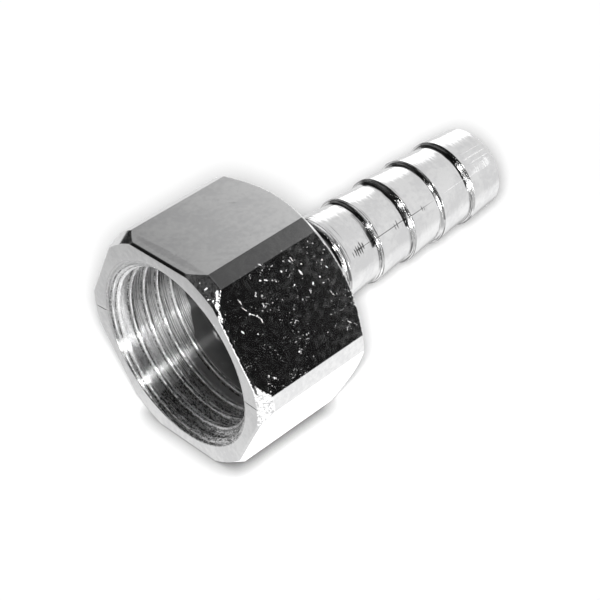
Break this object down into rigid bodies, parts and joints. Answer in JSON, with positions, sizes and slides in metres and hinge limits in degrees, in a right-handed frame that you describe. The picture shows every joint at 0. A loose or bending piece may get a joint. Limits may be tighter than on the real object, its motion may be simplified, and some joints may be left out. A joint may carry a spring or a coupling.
{
  "type": "hose nipple",
  "caption": "Straight hose nipple: hexagon socket with inside pipe thread, and a barbed tail for a push-on hose, plated brass.",
  "frame": {"origin": "centre of the socket's open mouth, on the axis of the thread, at the flat end face", "axes": "+X along the bore from the mouth to the free end of the hose tail; +Z square to a flat of the hexagon, up; the opposite flat lies on the ground at Z = -12 mm; corners of the hexagon at +Y and -Y"},
  "size_m": [0.0447, 0.0266, 0.024],
  "materials": {
    "bright_plating": "bright nickel plating over turned brass, with fine turning marks and small pits"
  },
  "bodies": {
    "root": {"hose_nipple": "bright_plating"}
  },
  "joints": []
}
